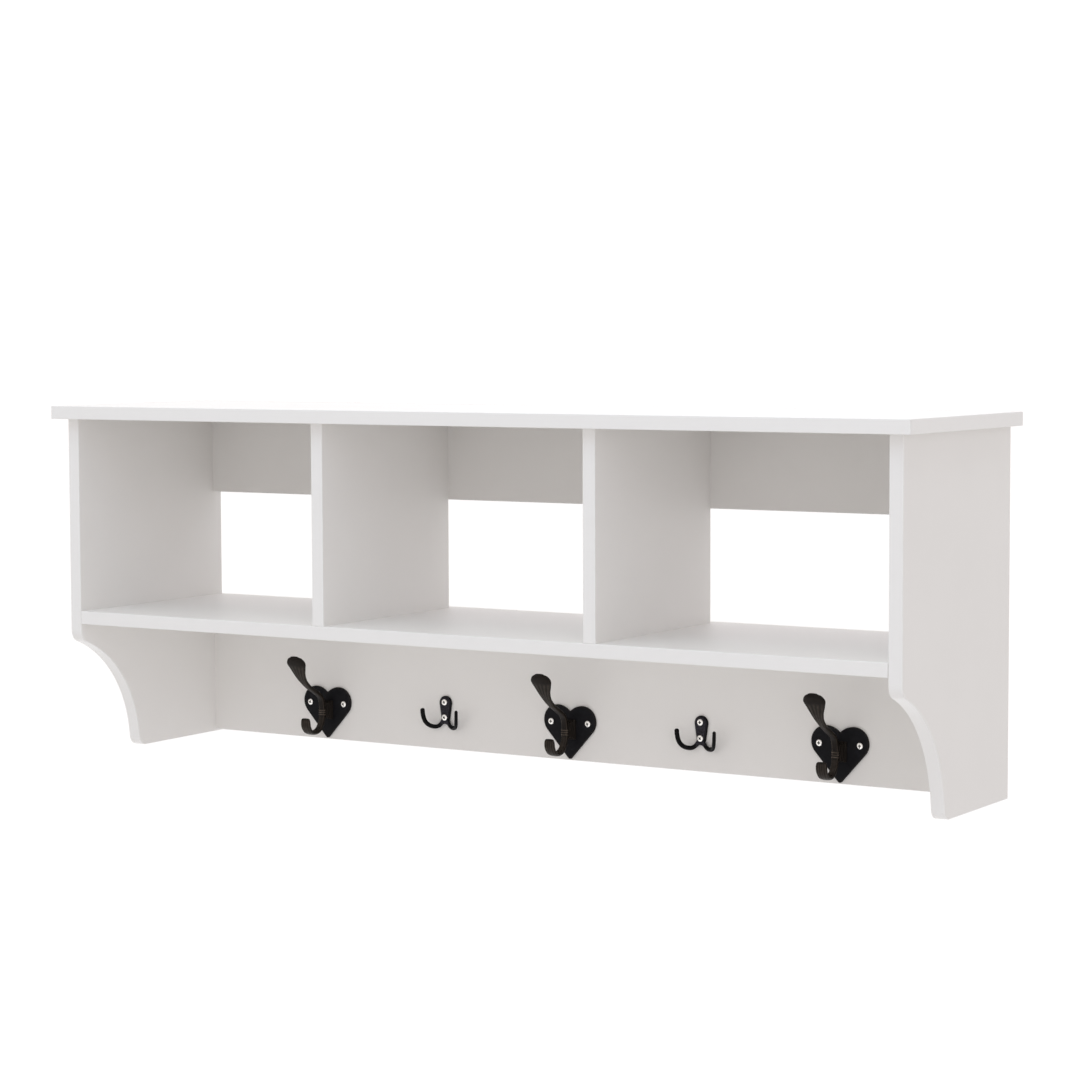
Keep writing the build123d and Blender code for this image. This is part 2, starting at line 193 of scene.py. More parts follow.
# Each softbox: name, position, aim, width and height, power in watts, colour
SOFT_LIGHTS = (
    ("overhead", (0.0, -0.3, 2.4), (0.0, -0.1, 0.0), (3.0, 2.4), 18.5, "#F6FDFF"),
    ("overhead_front", (0.0, -2.0, 2.2), (0.0, 0.0, 0.0), (3.0, 1.6), 18.9, "#D8ECFF"),
    ("overhead_back", (0.0, 2.0, 1.8), (0.0, 0.0, 0.0), (3.0, 1.4), 12.6, "#F0F0FF"),
    ("left", (-3.2, -0.5, 0.4), (0.0, 0.0, -0.1), (1.3, 1.3), 14.0, "#FFF9F7"),
    ("right_front", (2.8, -2.4, 0.6), (0.2, 0.0, -0.1), (1.8, 1.8), 10.2, "#F7F3FF"),
)
SKY_COLOUR = "#FFFBFA"
WHITE = (1.0, 1.0, 1.0, 1.0)


# ---------------------------------------------------------------- settings


def length_property(name, description, default, low, high):
    """A length setting with its default and its limits in millimetres."""
    return FloatProperty(
        name=name,
        description=description,
        default=default * MM,
        min=low * MM,
        max=high * MM,
        precision=5,
        subtype="DISTANCE",
        unit="LENGTH",
    )


class HOOKRACK_PG_sizes(bpy.types.PropertyGroup):
    """Sizes of the hooks and their screws."""

    plate_bevel: length_property(
        "Plate bevel", "Rounding round the front of a heart plate", 0.7, 0.1, 1.5
    )
    flutes: IntProperty(
        name="Flutes",
        description="Ridges across the fan of a heart hook's arm",
        default=5,
        min=1,
        max=11,
    )
    bead_height: length_property(
        "Bead height", "How far the three beads stand proud of the stem", 0.6, 0.0, 1.5
    )
    rim_width: length_property(
        "Double hook rim", "Width of the bevel round a double hook's plate", 2.0, 0.2, 4.0
    )
    prong_radius: length_property(
        "Prong radius", "Radius of a double hook's round prongs", 2.4, 1.0, 4.0
    )
    casting_grid: length_property(
        "Casting grid", "Grid on which a double hook is fused into one casting", 0.32, 0.2, 1.0
    )
    head_radius: length_property(
        "Screw head radius", "Radius of the pan head of a hook screw", 3.7, 2.0, 5.0
    )
    head_height: length_property(
        "Screw head height", "Height of the pan head of a hook screw", 1.8, 1.0, 4.0
    )
    screw_seed: IntProperty(
        name="Screw seed",
        description="Fixes how far each screw is turned",
        default=7,
        min=0,
    )


def linear(code):
    """An sRGB hex colour as linear red, green and blue."""
    shares = [int(code[i : i + 2], 16) / 255 for i in (1, 3, 5)]
    return tuple(c / 12.92 if c <= 0.04045 else ((c + 0.055) / 1.055) ** 2.4 for c in shares)


def colour_property(name, description, code):
    """A colour setting whose default is an sRGB hex colour."""
    return FloatVectorProperty(
        name=name,
        description=description,
        default=linear(code),
        size=3,
        min=0.0,
        max=1.0,
        subtype="COLOR",
    )


class HOOKRACK_PG_colours(bpy.types.PropertyGroup):
    """Colours of the finishes."""

    board: colour_property("Board", "White melamine face of the boards", "#EFEDEA")
    strip: colour_property("Edging", "White plastic edging of the boards", "#F2F1EF")
    core: colour_property("Core", "Pressed chips on the cut edges at the wall", "#B79A72")
    plate: colour_property("Heart plate", "Powder coat of the heart plates", "#17171A")
    casting: colour_property("Casting", "Low parts of the cast arms", "#171310")
    # Also the colour of the painted highlight along the arms' front corners
    rub: colour_property("Rubbed ridges", "High parts of the cast arms", "#83776B")
    lacquer: colour_property("Lacquer", "Black lacquer of the double hooks", "#121112")
    # Colour of the painted reflection on the double hooks' front-facing flats
    lacquer_sheen: colour_property("Thin lacquer", "Lacquer on the flats of the double hooks", "#38363D")
    nickel: colour_property("Nickel", "Bright plating of the hook screws", "#E9E7E3")
    zinc: colour_property("Zinc", "Plating of the hidden fittings", "#B9BBBD")
    beech: colour_property("Beech", "Wood of the dowels", "#C9A172")


class HOOKRACK_PG_studio(bpy.types.PropertyGroup):
    """Camera, floor and lights."""

    lens: FloatProperty(
        name="Lens",
        description="Focal length of the camera, in millimetres",
        default=97.24,
        min=20.0,
        max=300.0,
    )
    yaw: FloatProperty(
        name="Yaw",
        description="Turn of the camera about the vertical",
        default=radians(31.97),
        subtype="ANGLE",
        unit="ROTATION",
    )
    pitch: FloatProperty(
        name="Pitch",
        description="How far the camera looks down",
        default=radians(4.24),
        subtype="ANGLE",
        unit="ROTATION",
    )
    roll: FloatProperty(
        name="Roll",
        description="Turn of the camera about its line of sight",
        default=radians(-0.21),
        subtype="ANGLE",
        unit="ROTATION",
    )
    hanging_height: FloatProperty(
        name="Hanging height",
        description="Height of the hangers above the floor",
        default=1.65,
        min=0.6,
        max=3.0,
        subtype="DISTANCE",
        unit="LENGTH",
    )
    ambient: FloatProperty(
        name="Ambient",
        description="Strength of the white surroundings as a light",
        default=0.668,
        min=0.0,
    )


# ---------------------------------------------------------------- materials


def node(tree, kind, settings=None, **links):
    """Add a node, set its fields and sockets, and link outputs into its named inputs.

    A setting whose name is an input sets that socket. Links take Input_Name=output.
    """
    made = tree.nodes.new(kind)
    for name, value in (settings or {}).items():
        if isinstance(name, int):
            made.inputs[name].default_value = value
        elif name in made.inputs:
            made.inputs[name].default_value = value
        else:
            setattr(made, name, value)
    for name, output in links.items():
        key = int(name[1:]) if name[0] == "i" and name[1:].isdigit() else name.replace("_", " ")
        tree.links.new(output, made.inputs[key])
    return made


def new_material(name):
    """An empty material with its output node and object coordinates."""
    material = bpy.data.materials.new(name)
    material.use_nodes = True
    tree = material.node_tree
    tree.nodes.clear()
    place = node(tree, "ShaderNodeTexCoord").outputs["Object"]
    return material, tree, place


def finish_material(tree, shader):
    """Link the shader to the material's output."""
    node(tree, "ShaderNodeOutputMaterial", Surface=shader.outputs[0])


def rgba(colour):
    """The colour, fully opaque."""
    return (*colour, 1.0)


def darker(colour, share):
    """A share of the colour's light."""
    return tuple(c * share for c in colour)


def noise(tree, place, size, detail=2.0, roughness=0.5):
    """Noise whose blobs are about size metres across."""
    return node(
        tree,
        "ShaderNodeTexNoise",
        {"Scale": 1 / size, "Detail": detail, "Roughness": roughness},
        Vector=place,
    ).outputs[0]


def spread(tree, value, low, high, to_low, to_high):
    """A value's range low to high laid onto to_low to to_high, and held at the ends."""
    return node(
        tree,
        "ShaderNodeMapRange",
        {"From Min": low, "From Max": high, "To Min": to_low, "To Max": to_high},
        Value=value,
    ).outputs[0]


def blend_colours(tree, share, low, high):
    """A colour between two, each a plain colour or an output."""
    made = node(tree, "ShaderNodeMix", {"data_type": "RGBA"}, i0=share)
    for index, colour in ((6, low), (7, high)):
        if isinstance(colour, tuple):
            made.inputs[index].default_value = rgba(colour)
        else:
            tree.links.new(colour, made.inputs[index])
    return made.outputs[2]


def bump(tree, height, depth, strength=1.0):
    """Normals for a height between 0 and 1 that is depth metres deep."""
    return node(
        tree,
        "ShaderNodeBump",
        {"Strength": strength, "Distance": depth},
        Height=height,
    ).outputs[0]


def melamine_material(colours, name, cut_back):
    """Satin white melamine, pressed on chipboard between embossed steel plates.

    The eye gets an even, slightly warm white with a fine pebble that softens highlights,
    and a very slight cloudiness. With cut_back, the cut edge at the wall shows raw chips.
    """
    material, tree, place = new_material(name)
    # Clouds of 90 mm keep a wide board from looking painted in one flat tone.
    clouds = noise(tree, place, 0.09, 3.0)
    cloudy = spread(tree, clouds, 0.3, 0.7, 0.0, 1.0)
    colour = blend_colours(tree, cloudy, darker(colours.board, 0.985), tuple(colours.board))
    # The pebble of the press plate is 0.5 mm, drawn at 1.2 mm so that it shows.
    pebble = noise(tree, place, 0.0012, 2.0, 0.6)
    roughness = spread(tree, pebble, 0.3, 0.7, 0.40, 0.5)
    if cut_back:
        # The cut edge is the last 0.04 mm before the wall.
        depth = node(tree, "ShaderNodeSeparateXYZ", Vector=place).outputs["Y"]
        cut = {"operation": "GREATER_THAN", 1: -0.00004}
        bare = node(tree, "ShaderNodeMath", cut, i0=depth).outputs[0]
        # Chips of 2 to 3 mm, cut across.
        chips = node(tree, "ShaderNodeTexVoronoi", {"Scale": 1 / 0.0024}, Vector=place).outputs["Color"]
        tone = node(tree, "ShaderNodeSeparateColor", Color=chips).outputs[0]
        wood = blend_colours(tree, tone, darker(colours.core, 0.62), tuple(colours.core))
        colour = blend_colours(tree, bare, colour, wood)
        dry = node(tree, "ShaderNodeMath", {"operation": "MULTIPLY", 1: 0.9}, i0=bare).outputs[0]
        rougher = node(tree, "ShaderNodeMath", {"operation": "MAXIMUM"}, i0=roughness, i1=dry)
        roughness = rougher.outputs[0]
    shader = node(
        tree,
        "ShaderNodeBsdfPrincipled",
        {"IOR": 1.5},
        Base_Color=colour,
        Roughness=roughness,
        Normal=bump(tree, pebble, 0.00003),
    )
    finish_material(tree, shader)
    return material


def edging_material(colours):
    """White PVC edging, extruded as a strip, glued on hot and trimmed flush.

    The eye gets a shade cooler and smoother white than the boards, with faint long ripples
    from the glue line under it.
    """
    material, tree, place = new_material("white_pvc_edging")
    ripples = noise(tree, place, 0.012, 1.0)
    grain = noise(tree, place, 0.0009, 1.0)
    both = {"operation": "MULTIPLY_ADD", 1: 0.15}
    height = node(tree, "ShaderNodeMath", both, i0=grain, i2=ripples).outputs[0]
    colour = blend_colours(tree, ripples, darker(colours.strip, 0.985), tuple(colours.strip))
    shader = node(
        tree,
        "ShaderNodeBsdfPrincipled",
        {"IOR": 1.53},
        Base_Color=colour,
        Roughness=spread(tree, grain, 0.3, 0.7, 0.32, 0.42),
        Normal=bump(tree, height, 0.00006),
    )
    finish_material(tree, shader)
    return material


def powder_coat_material(colours):
    """Black powder coat, baked on stamped steel.

    The eye gets a deep blue-black with a fine wrinkle, and brown specks on the rim where the
    coat is thin. The rim attribute is 1 on the rim and 0 on the flat.
    """
    material, tree, place = new_material("blackened_plate_powder_coat")
    wrinkle = noise(tree, place, 0.0009, 4.0, 0.6)
    patches = noise(tree, place, 0.006, 3.0)
    patchy = spread(tree, patches, 0.35, 0.65, 0.0, 1.0)
    face = blend_colours(tree, patchy, darker(colours.plate, 0.75), tuple(colours.plate))
    rim = node(tree, "ShaderNodeAttribute", {"attribute_name": "rim"}).outputs["Fac"]
    specks = spread(tree, noise(tree, place, 0.0016, 2.0), 0.45, 0.65, 0.1, 0.6)
    worn = node(tree, "ShaderNodeMath", {"operation": "MULTIPLY"}, i0=rim, i1=specks).outputs[0]
    shader = node(
        tree,
        "ShaderNodeBsdfPrincipled",
        {"IOR": 1.5, "Specular IOR Level": 0.08},
        Base_Color=blend_colours(tree, worn, face, darker(colours.rub, 0.16)),
        Roughness=spread(tree, wrinkle, 0.3, 0.7, 0.42, 0.58),
        Normal=bump(tree, wrinkle, 0.00012),
    )
    finish_material(tree, shader)
    return material


def casting_material(colours):
    """Zinc alloy, sand-finished, blackened and oil-rubbed.

    The eye gets a brown-black casting with a slightly pitted skin, dark in the hollows and
    brown where the ridges and beads were rubbed, with a painted highlight along the front corners of
    the stem, strongest on the left. A point attribute marks both.
    """
    material, tree, place = new_material("oil_rubbed_zinc_casting")
    pits = noise(tree, place, 0.0011, 3.0, 0.6)
    patches = noise(tree, place, 0.004, 3.0)
    # The rub on ridges and beads, and a painted highlight along the stem's front corners, mixed in as
    # the rub colour
    wear = node(tree, "ShaderNodeAttribute", {"attribute_name": "wear"}).outputs["Fac"]
    uneven = spread(tree, patches, 0.3, 0.7, 0.45, 1.0)
    rubbed = node(tree, "ShaderNodeMath", {"operation": "MULTIPLY"}, i0=wear, i1=uneven).outputs[0]
    shader = node(
        tree,
        "ShaderNodeBsdfPrincipled",
        {"IOR": 1.5, "Specular IOR Level": 0.09},
        Base_Color=blend_colours(tree, rubbed, tuple(colours.casting), tuple(colours.rub)),
        Roughness=spread(tree, pits, 0.3, 0.7, 0.34, 0.52),
        Normal=bump(tree, pits, 0.0001),
    )
    finish_material(tree, shader)
    return material


def lacquer_material(colours):
    """Black lacquer, sprayed on a zinc casting.

    The eye gets a glossier black than the heart plates, with a soft orange peel, and a
    greyer, speckled flat that is a painted reflection of the bright front. The face attribute is 1 on
    the flat.
    """
    material, tree, place = new_material("black_lacquered_casting")
    peel = noise(tree, place, 0.0014, 2.0)
    patches = noise(tree, place, 0.005, 2.0)
    # Painted reflection: the front-facing flat turns a lighter, speckled grey
    front_sheen = node(tree, "ShaderNodeAttribute", {"attribute_name": "face"}).outputs["Fac"]
    speckle = spread(tree, peel, 0.35, 0.65, 0.35, 1.0)
    sheen_share = node(tree, "ShaderNodeMath", {"operation": "MULTIPLY"}, i0=front_sheen, i1=speckle).outputs[0]
    black = blend_colours(tree, patches, darker(colours.lacquer, 0.6), tuple(colours.lacquer))
    shader = node(
        tree,
        "ShaderNodeBsdfPrincipled",
        {"IOR": 1.5, "Specular IOR Level": 0.06},
        Base_Color=blend_colours(tree, sheen_share, black, tuple(colours.lacquer_sheen)),
        Roughness=spread(tree, patches, 0.3, 0.7, 0.26, 0.4),
        Normal=bump(tree, peel, 0.00008),
    )
    finish_material(tree, shader)
    return material


def nickel_material(colours):
    """Bright nickel plate on a rolled and stamped steel screw.

    The eye gets a white metal glint with faint turning marks and a dark cross, whose bottom gets
    painted shade. The recess attribute is 1 at the bottom of the cross.
    """
    material, tree, place = new_material("bright_nickel_screw")
    marks = noise(tree, place, 0.0004, 2.0)
    recess = node(tree, "ShaderNodeAttribute", {"attribute_name": "recess"}).outputs["Fac"]
    shader = node(
        tree,
        "ShaderNodeBsdfPrincipled",
        {"Metallic": 1.0},
        # Painted shade deep in the cross: the nickel darkens to 8 per cent where the recess attribute
        # is 1
        Base_Color=blend_colours(tree, recess, tuple(colours.nickel), darker(colours.nickel, 0.08)),
        Roughness=spread(tree, marks, 0.3, 0.7, 0.16, 0.26),
        Normal=bump(tree, marks, 0.00001),
    )
    finish_material(tree, shader)
    return material


def zinc_material(colours, name, dull):
    """Zinc, plated bright on pressed steel or left as die cast, which is duller.

    The eye gets a grey metal with soft spangles 3 mm across.
    """
    material, tree, place = new_material(name)
    spangle = node(tree, "ShaderNodeTexVoronoi", {"Scale": 1 / 0.003}, Vector=place).outputs["Color"]
    tone = node(tree, "ShaderNodeSeparateColor", Color=spangle).outputs[0]
    shader = node(
        tree,
        "ShaderNodeBsdfPrincipled",
        {"Metallic": 1.0},
        Base_Color=blend_colours(tree, tone, darker(colours.zinc, 0.85), tuple(colours.zinc)),
        Roughness=spread(tree, tone, 0.0, 1.0, dull, dull + 0.1),
    )
    finish_material(tree, shader)
    return material


def beech_material(colours):
    """Beech, turned and fluted into dowels.

    The eye gets a pink-brown wood with fine short flecks along the dowel.
    """
    material, tree, place = new_material("beech_dowel")
    along = node(tree, "ShaderNodeMapping", {"Scale": (1.0, 1.0, 0.12)}, Vector=place).outputs[0]
    grain = noise(tree, along, 0.0006, 4.0, 0.6)
    shader = node(
        tree,
        "ShaderNodeBsdfPrincipled",
        {"IOR": 1.45},
        Base_Color=blend_colours(tree, grain, darker(colours.beech, 0.6), tuple(colours.beech)),
        Roughness=spread(tree, grain, 0.3, 0.7, 0.55, 0.7),
        Normal=bump(tree, grain, 0.00005),
    )
    finish_material(tree, shader)
    return material


def paint(names, material):
    """Give CAD nodes a finish in the slots they already have, leaving their meshes as they are."""
    for name in names:
        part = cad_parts[name]
        for holder in part.material_slots:
            holder.material = material
        if not part.material_slots:
            raise RuntimeError(f"{name} has no material slot to paint")


# ---------------------------------------------------------------- shapes


def blend_table(table, at):
    """A value between the entries of a table of (position, value) pairs."""
    for (a, low), (b, high) in zip(table, table[1:]):
        if at <= b:
            share = (at - a) / (b - a)
            share = share * share * (3 - 2 * share)
            return low + (high - low) * share
    return table[-1][1]


def curve_through(stations, at):
    """Catmull-Rom values at a station number, for tuples of numbers."""
    last = len(stations) - 1
    i = min(int(at), last - 1)
    t = at - i
    a, b, c, d = (Vector(stations[min(max(k, 0), last)]) for k in range(i - 1, i + 3))
    bend = (2 * a - 5 * b + 4 * c - d) * t**2
    twist = (3 * b - a - 3 * c + d) * t**3
    return 0.5 * (2 * b + (c - a) * t + bend + twist)


def rounded_curve(route, steps):
    """Points on a clamped quadratic spline whose control points are the route."""
    points = []
    middles = [route[0]] + [(a + b) / 2 for a, b in zip(route[1:-1], route[2:-1])] + [route[-1]]
    for start, control, end in zip(middles, route[1:-1], middles[1:]):
        for k in range(steps):
            t = k / steps
            points.append(start * (1 - t) ** 2 + control * 2 * t * (1 - t) + end * t**2)
    return points + [route[-1]]


def skin(rings, name, attribute=None, values=None):
    """A closed mesh over rings of as many points each, capped flat at both ends."""
    mesh = bpy.data.meshes.new(name)
    count = len(rings[0])
    points = [p for ring in rings for p in ring]
    faces = [tuple(reversed(range(count)))]
    for r in range(len(rings) - 1):
        low = r * count
        for k in range(count):
            j = (k + 1) % count
            faces.append((low + k, low + j, low + count + j, low + count + k))
    faces.append(tuple(range(len(points) - count, len(points))))
    mesh.from_pydata(points, [], faces)
    if attribute:
        layer = mesh.attributes.new(attribute, "FLOAT", "POINT")
        layer.data.foreach_set("value", [v for ring in values for v in ring])
    tidy_normals(mesh)
    return mesh


def tidy_normals(mesh):
    """Merge doubled points and turn every face outwards."""
    work = bmesh.new()
    work.from_mesh(mesh)
    bmesh.ops.remove_doubles(work, verts=work.verts, dist=1e-7)
    bmesh.ops.recalc_face_normals(work, faces=work.faces)
    work.to_mesh(mesh)
    work.free()


def add_object(name, mesh):
    """A new object at the origin of the scene."""
    made = bpy.data.objects.new(name, mesh)
    bpy.context.scene.collection.objects.link(made)
    return made


def baked(piece, modifiers):
    """Turn the piece into its mesh after these modifiers, given as (kind, settings)."""
    for kind, settings in modifiers:
        added = piece.modifiers.new(kind.lower(), kind)
        for name, value in settings.items():
            setattr(added, name, value)
    bpy.context.view_layer.update()
    ready = piece.evaluated_get(bpy.context.evaluated_depsgraph_get())
    mesh = bpy.data.meshes.new_from_object(ready)
    piece.modifiers.clear()
    old = piece.data
    piece.data = mesh
    if old.users == 0:
        bpy.data.meshes.remove(old)


def joined(name, *meshes):
    """One mesh that holds the others side by side."""
    work = bmesh.new()
    for mesh in meshes:
        work.from_mesh(mesh)
    whole = bpy.data.meshes.new(name)
    work.to_mesh(whole)
    work.free()
    return whole


def combined(piece, other, operation):
    """Join or cut a piece with another solid, which is used up."""
    baked(piece, [("BOOLEAN", {"object": other, "operation": operation, "solver": "EXACT"})])
    bpy.data.objects.remove(other)


def rod_mesh(name, start, end, radius, sides=32):
    """A closed round bar between two points."""
    along = (end - start).normalized()
    across = along.orthogonal().normalized()
    up = along.cross(across)
    rings = []
    for centre in (start, end):
        turn = [2 * pi * k / sides for k in range(sides)]
        rings.append([centre + radius * (across * cos(a) + up * sin(a)) for a in turn])
    return skin(rings, name)


def drilled(piece, start, depth):
    """Drill a screw hole through a piece, from start, depth millimetres away from the wall."""
    end = start - Vector((0, depth * MM, 0))
    drill = add_object("drill", rod_mesh("drill", start, end, HOLE_RADIUS * MM))
    combined(piece, drill, "DIFFERENCE")


def dressed(piece, material, crease):
    """Give a mesh its material, smooth faces and corners that are crisp past crease degrees."""
    mesh = piece.data
    mesh.materials.clear()
    mesh.materials.append(material)
    mesh.shade_smooth()
    mesh.set_sharp_from_angle(angle=radians(crease))


def heart_points(inset, steps=28):
    """The heart's outline in millimetres, anticlockwise from its foot, moved inwards by inset.

    Each half is the foot's arc, a straight side, the lobe's arc and the cleft's arc.
    """
    lobe_z = HEART_HEIGHT - LOBE_RADIUS
    grow = TIP_RADIUS - LOBE_RADIUS
    run = hypot(LOBE_OFFSET, lobe_z - TIP_RADIUS)
    turn = atan2(lobe_z - TIP_RADIUS, LOBE_OFFSET) - atan2(sqrt(run**2 - grow**2), grow)
    inner = (LOBE_OFFSET**2 + CLEFT_DEPTH**2) / (2 * CLEFT_DEPTH)
    # The cleft's two arcs, moved inwards, meet lower on the middle line.
    small = inner - inset
    cleft = pi / 2 + atan2(LOBE_OFFSET, sqrt(small**2 - LOBE_OFFSET**2))
    half = []
    tip = max(TIP_RADIUS - inset, 0.05)
    lobe = LOBE_RADIUS - inset
    for k in range(steps // 2 + 1):
        a = -pi / 2 + (turn + pi / 2) * 2 * k / steps
        half.append((tip * cos(a), TIP_RADIUS + tip * sin(a)))
    for k in range(steps + 1):
        a = turn + (pi / 2 - turn) * k / steps
        half.append((LOBE_OFFSET + lobe * cos(a), lobe_z + lobe * sin(a)))
    for k in range(1, steps + 1):
        a = pi / 2 + (cleft - pi / 2) * k / steps
        half.append((LOBE_OFFSET + small * cos(a), HEART_HEIGHT - inner + small * sin(a)))
    half[-1] = (0.0, half[-1][1])
    half[0] = (0.0, half[0][1])
    return half + [(-x, z) for x, z in reversed(half[1:-1])]


def heart_plate_mesh(spot, thick, bevel):
    """A heart plate on its rail: spot is the foot of the heart on the rail's face.

    Each level is how far the outline has moved in, the height off the rail and the rim mark.
    """
    levels = [(0.15, 0.0, 0.6), (0.0, 0.15, 0.8), (0.0, thick - bevel, 1.0)]
    for k in range(1, 6):
        a = pi / 2 * k / 5
        levels.append((bevel * (1 - cos(a)), thick - bevel + bevel * sin(a), 1.0))
    levels.append((bevel + 0.7, thick, 0.35))
    levels.append((bevel + 1.8, thick, 0.0))
    rings = []
    rims = []
    for inset, out, rim in levels:
        rings.append([spot + MM * Vector((x, -out, z)) for x, z in heart_points(inset)])
        rims.append([rim] * len(rings[-1]))
    return skin(rings, "heart_plate", "rim", rims)


def boss_mesh(spot):
    """The stepped block behind the stem of an arm, standing on the plate's front."""
    levels = []
    out = -BOSS_SUNK
    for wide, high, deep in BOSS_STEPS:
        top = max(out, 0) + deep
        # How far the outline has moved in, at each height: fillet, wall, then bevel.
        for inset, depth in (
            (-BOSS_FILLET, out),
            (0, out + BOSS_BEVEL),
            (0, top - BOSS_BEVEL),
            (0.3 * BOSS_BEVEL, top - 0.3 * BOSS_BEVEL),
            (BOSS_BEVEL, top),
        ):
            levels.append((wide / 2 - inset, high / 2 - inset, depth))
        out = top
    rings = []
    corner = BOSS_CORNER
    for half_wide, half_high, depth in levels:
        ring = []
        for quarter in range(4):
            sx = 1 if quarter in (0, 3) else -1
            sz = 1 if quarter in (0, 1) else -1
            for k in range(5):
                a = pi / 2 * (quarter + k / 4)
                x = sx * (half_wide - corner) + corner * cos(a)
                z = sz * (half_high - corner) + corner * sin(a)
                ring.append(spot + MM * Vector((x, -depth, z)))
        rings.append(ring)
    return skin(rings, "boss", "wear", [[0.0] * len(ring) for ring in rings])


def arm_mesh(spot, flutes, bead, steps=24, turns=88, cap=7):
    """The swept arm: fluted fan, square stem with three beads, fluted lower hook.

    There are steps rings for each station, turns points round each, and cap rings more on
    each rounded end. A point attribute says how far each point is rubbed on the ridges and beads, and
    how much painted highlight lies on the front corners.
    """
    last = len(ARM_STATIONS) - 1
    places = [k / steps for k in range(last * steps + 1)]
    middles = []
    for at in places:
        out, up, wide, thick = curve_through(ARM_STATIONS, at)
        middles.append((at, Vector((0, -out, up)), wide, thick))
    # Beads sit at fixed distances along the stem.
    gone = [0.0]
    for (_, a, _, _), (_, b, _, _) in zip(middles, middles[1:]):
        gone.append(gone[-1] + (b - a).length)
    bead_middle = gone[min(range(len(places)), key=lambda k: abs(places[k] - BEAD_STATION))]
    # Each ring: its place, how far it is over the rounded end, and which end that is.
    order = [(0, 1 - k / cap, -1) for k in range(cap)]
    order += [(k, 0.0, 0) for k in range(len(middles))]
    order += [(len(middles) - 1, (k + 1) / cap, 1) for k in range(cap)]
    rings = []
    rubs_and_highlights = []
    for index, over, end in order:
        at, centre, wide, thick = middles[index]
        before = middles[max(index - 1, 0)][1]
        after = middles[min(index + 1, len(middles) - 1)][1]
        along = (after - before).normalized()
        face = Vector((0, along.z, -along.y))
        shrink = (1 - min(over, 0.985) ** END_POWER) ** (1 / END_POWER)
        centre = centre + along * end * over * thick * END_LENGTH
        square = 2 / blend_table(SQUARENESS, at)
        groove = blend_table(FLUTE_DEPTHS, at)
        edge_highlight = blend_table(EDGE_HIGHLIGHT, at)
        along_stem = gone[index] - bead_middle
        swell = sum(bell((along_stem - offset) / BEAD_SPREAD) for offset in BEAD_OFFSETS)
        ring = []
        wear = []
        for k in range(turns):
            a = 2 * pi * k / turns
            across = power(cos(a), square)
            out = power(sin(a), square)
            ridge = 0.5 + 0.5 * cos(flutes * pi * across)
            # The flutes and the rubbing fade out round the sides of the section.
            inside = min(1.0, 3.2 * abs(sin(a)))
            cut = groove * (1 - ridge) * inside
            grow = bead / MM * swell
            x = across * (wide / 2 * shrink + grow) * (1 - 0.35 * cut / max(wide / 2, 1))
            y = out * (max(thick / 2 * shrink, 0.05) + grow) - (cut if out > 0 else -cut) * shrink
            ring.append(spot + MM * (centre + Vector((x, 0, 0)) + face * y))
            rubbed = RIDGE_RUB * ridge * inside * min(1.0, groove / 0.3)
            # The front corners lie at nine tenths of the half width. They get a painted highlight,
            # strongest on the left-hand one, which faces the light.
            arris_highlight = max(0.0, 1 - abs(abs(across) - 0.9) / 0.12) * edge_highlight if out > 0 else 0.0
            if across >= 0:
                arris_highlight *= RIGHT_HIGHLIGHT
            # Each point takes the most of its ridge rub, its bead rub and its painted corner highlight
            wear.append(min(1.0, LEAST_RUB + max(rubbed, BEAD_RUB * swell, arris_highlight)))
        rings.append(ring)
        rubs_and_highlights.append(wear)
    return skin(rings, "heart_arm", "wear", rubs_and_highlights)


def bell(x):
    """A smooth bump, 1 at the middle."""
    return exp(-x * x)


def power(value, exponent):
    """A signed power, for superellipse sections."""
    return (1 if value >= 0 else -1) * abs(value) ** exponent


def teardrop(inset, steps=40):
    """The double plate's outline in millimetres about the top of the plate, moved inwards."""
    lean = (HEAD_RADIUS - FOOT_RADIUS) / (FOOT_DROP - HEAD_RADIUS)
    tilt = atan2(lean, sqrt(1 - lean**2))
    points = []
    for centre, radius, start, sweep in (
        (-HEAD_RADIUS, HEAD_RADIUS, -tilt, pi + 2 * tilt),
        (-FOOT_DROP, FOOT_RADIUS, pi + tilt, pi - 2 * tilt),
    ):
        for k in range(steps + 1):
            a = start + sweep * k / steps
            points.append(((radius - inset) * cos(a), centre + (radius - inset) * sin(a)))
    return points


def double_plate_mesh(spot, thick, rim):
    """Teardrop plate with a wide soft bevel: spot is the top of the plate on the rail."""
    rings = []
    for inset, out in (
        (0.0, 0.0),
        (0.0, thick * 0.45),
        (0.25, thick * 0.62),
        (rim * 0.9, thick - 0.12),
        (rim, thick),
    ):
        rings.append([spot + MM * Vector((x, -out, z)) for x, z in teardrop(inset)])
    return skin(rings, "double_plate")


def block_behind(spot, size=0.1):
    """A cube whose front lies on the rail's face, behind the double hook at this spot."""
    mesh = bpy.data.meshes.new("behind")
    work = bmesh.new()
    middle = Matrix.Translation(spot + Vector((0, size / 2, -20 * MM)))
    bmesh.ops.create_cube(work, size=size, matrix=middle)
    work.to_mesh(mesh)
    work.free()
    return mesh


def mark_front_sheen(mesh, level):
    """Mark the points of the plate's flat front at this Y with 1, and its bevel with less, for a
    painted reflection on the faces that look forward.
    """
    layer = mesh.attributes.new("face", "FLOAT", "POINT")
    near = 1.3 * MM
    for point, mark in zip(mesh.vertices, layer.data):
        facing = max(0.0, (-point.normal.y - 0.6) / 0.4)
        mark.value = facing if abs(point.co.y - level) < near else 0.0


